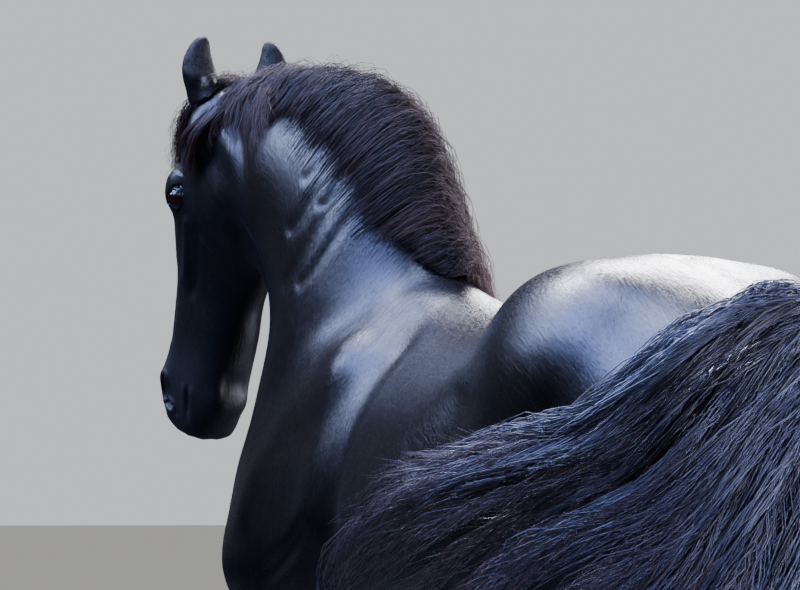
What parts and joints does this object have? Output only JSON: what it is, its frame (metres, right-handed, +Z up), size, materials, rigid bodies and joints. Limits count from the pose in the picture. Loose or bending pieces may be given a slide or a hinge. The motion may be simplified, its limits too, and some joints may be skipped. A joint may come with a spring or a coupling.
{
  "type": "horse",
  "caption": "Still life-size black horse standing square, neck arched and turned to its left, long wavy mane, feathered legs and tail swung to the left.",
  "frame": {"origin": "on the floor, under the middle of the whole model's box", "axes": "+Z up; the horse faces -Y; its left side is +X"},
  "size_m": [0.9318, 2.0904, 2.068],
  "materials": {
    "coat": "short glossy black hair",
    "long_hair": "long wavy black hair, browner towards the tips",
    "eye": "wet, glossy, very dark brown",
    "horn": "dark grey horn, slightly polished"
  },
  "bodies": {
    "root": {"ear_left": "coat", "ear_right": "coat", "eye_left": "eye", "eye_right": "eye", "feather_fore_left": "long_hair", "feather_fore_right": "long_hair", "feather_hind_left": "long_hair", "feather_hind_right": "long_hair", "fore_leg_left": "coat", "fore_leg_right": "coat", "forelock": "long_hair", "head": "coat", "hind_leg_left": "coat", "hind_leg_right": "coat", "hoof_fore_left": "horn", "hoof_fore_right": "horn", "hoof_hind_left": "horn", "hoof_hind_right": "horn", "mane": "long_hair", "neck": "coat", "tail": "long_hair", "trunk_barrel": "coat", "trunk_fore": "coat", "trunk_hind": "coat"}
  },
  "joints": []
}
